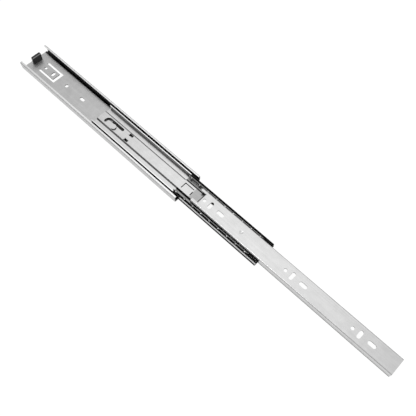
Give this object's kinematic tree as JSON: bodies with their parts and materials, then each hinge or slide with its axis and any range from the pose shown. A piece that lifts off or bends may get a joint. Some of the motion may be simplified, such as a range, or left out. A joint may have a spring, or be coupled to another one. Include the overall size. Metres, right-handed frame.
{
  "type": "drawer slide",
  "caption": "Telescopic ball-bearing drawer slide of nested steel channels with ball cages, screw holes and a rear bumper, shown drawn out to its full travel.",
  "frame": {"origin": "centre of the cabinet member's flat back face, half-way along its length", "axes": "+X the way the drawer opens, +Y across the slide, +Z from the cabinet panel towards the drawer side; rest is drawn out to full travel"},
  "size_m": [0.613, 0.045, 0.0127],
  "materials": {
    "zinc_plated_steel": "bright zinc plate with fine rolling lines",
    "cage_steel": "plain stamped strip",
    "bearing_steel": "polished",
    "bumper_rubber": "moulded, satin"
  },
  "bodies": {
    "cabinet": {"cabinet_member": "zinc_plated_steel", "rear_bumper": "bumper_rubber"},
    "intermediate": {"intermediate_member": "zinc_plated_steel"},
    "drawer": {"drawer_member": "zinc_plated_steel"},
    "outer_cage": {"outer_ball_cage": "cage_steel", "outer_ball_right_1": "bearing_steel", "outer_ball_left_1": "bearing_steel", "outer_ball_right_2": "bearing_steel", "outer_ball_left_2": "bearing_steel", "outer_ball_right_3": "bearing_steel", "outer_ball_left_3": "bearing_steel", "outer_ball_right_4": "bearing_steel", "outer_ball_left_4": "bearing_steel", "outer_ball_right_5": "bearing_steel", "outer_ball_left_5": "bearing_steel", "outer_ball_right_6": "bearing_steel", "outer_ball_left_6": "bearing_steel", "outer_ball_right_7": "bearing_steel", "outer_ball_left_7": "bearing_steel", "outer_ball_right_8": "bearing_steel", "outer_ball_left_8": "bearing_steel", "outer_ball_right_9": "bearing_steel", "outer_ball_left_9": "bearing_steel"},
    "inner_cage": {"inner_ball_cage": "cage_steel", "inner_ball_right_1": "bearing_steel", "inner_ball_left_1": "bearing_steel", "inner_ball_right_2": "bearing_steel", "inner_ball_left_2": "bearing_steel", "inner_ball_right_3": "bearing_steel", "inner_ball_left_3": "bearing_steel", "inner_ball_right_4": "bearing_steel", "inner_ball_left_4": "bearing_steel", "inner_ball_right_5": "bearing_steel", "inner_ball_left_5": "bearing_steel", "inner_ball_right_6": "bearing_steel", "inner_ball_left_6": "bearing_steel", "inner_ball_right_7": "bearing_steel", "inner_ball_left_7": "bearing_steel", "inner_ball_right_8": "bearing_steel", "inner_ball_left_8": "bearing_steel", "inner_ball_right_9": "bearing_steel", "inner_ball_left_9": "bearing_steel"}
  },
  "joints": [
    {"name": "intermediate_slide", "type": "slide", "parent": "cabinet", "child": "intermediate", "axis": [1, 0, 0], "range_m": [-0.126, 0]},
    {"name": "outer_cage_slide", "type": "slide", "parent": "cabinet", "child": "outer_cage", "axis": [1, 0, 0], "range_m": [-0.063, 0]},
    {"name": "drawer_slide", "type": "slide", "parent": "intermediate", "child": "drawer", "axis": [1, 0, 0], "range_m": [-0.187, 0]},
    {"name": "inner_cage_slide", "type": "slide", "parent": "intermediate", "child": "inner_cage", "axis": [1, 0, 0], "range_m": [-0.0935, 0]}
  ],
  "couplings": [
    {"joint": "outer_cage_slide", "follows": "intermediate_slide", "ratio": 0.5},
    {"joint": "inner_cage_slide", "follows": "drawer_slide", "ratio": 0.5}
  ]
}
